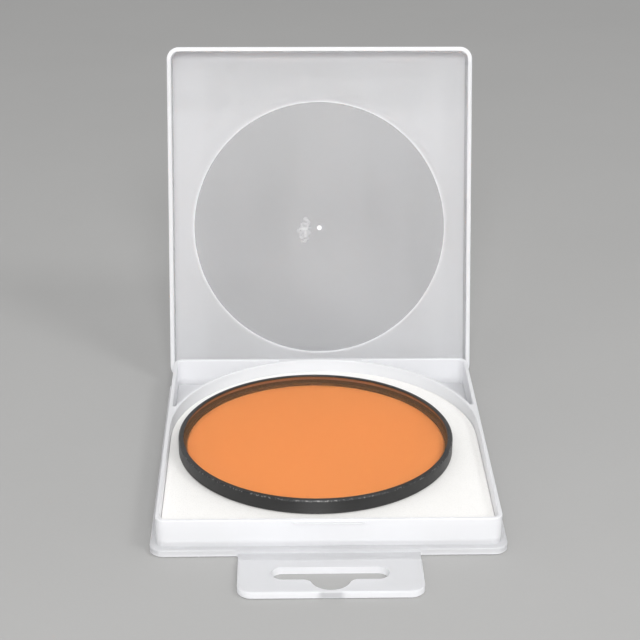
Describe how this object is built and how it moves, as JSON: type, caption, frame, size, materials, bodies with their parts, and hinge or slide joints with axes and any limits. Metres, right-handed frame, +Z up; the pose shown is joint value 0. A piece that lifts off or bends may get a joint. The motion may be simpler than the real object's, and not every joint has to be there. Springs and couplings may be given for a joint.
{
  "type": "colour conversion filter",
  "caption": "Round orange glass filter in a black rim, lying on a foam pad in an open hinged frosted plastic case with a hang tab.",
  "frame": {"origin": "centre of the case's flat underside, on the surface it stands on", "axes": "+Z up; +Y from the hang tab towards the hinge and the open lid; +X to the right as seen from the hang tab"},
  "size_m": [0.0996, 0.1713, 0.1069],
  "materials": {
    "frosted_plastic": "frosted translucent polypropylene, rims and edges nearly white, a round window in the lid left clear",
    "clear_plastic": "thin clear polypropylene",
    "white_foam": "fine white open foam",
    "black_metal": "black anodised, satin",
    "clear_glass": "polished",
    "orange_layer": "even orange dye layer"
  },
  "bodies": {
    "case": {"case_base": "frosted_plastic", "hinge_web": "clear_plastic", "foam_pad": "white_foam"},
    "lid": {"case_lid": "frosted_plastic"},
    "filter": {"filter_ring": "black_metal", "retaining_ring": "black_metal", "front_glass": "clear_glass", "colour_core": "orange_layer", "rear_glass": "clear_glass"}
  },
  "joints": [
    {"name": "lid_hinge", "type": "hinge", "parent": "case", "child": "lid", "pos_m": [0, 0.05485, 0.0022], "axis": [1, 0, 0], "range_deg": [0, 106.5], "deforming": ["hinge_web"]},
    {"name": "filter_lift", "type": "slide", "parent": "case", "child": "filter", "axis": [0, 0, 1], "range_m": [0, 0.05]}
  ]
}
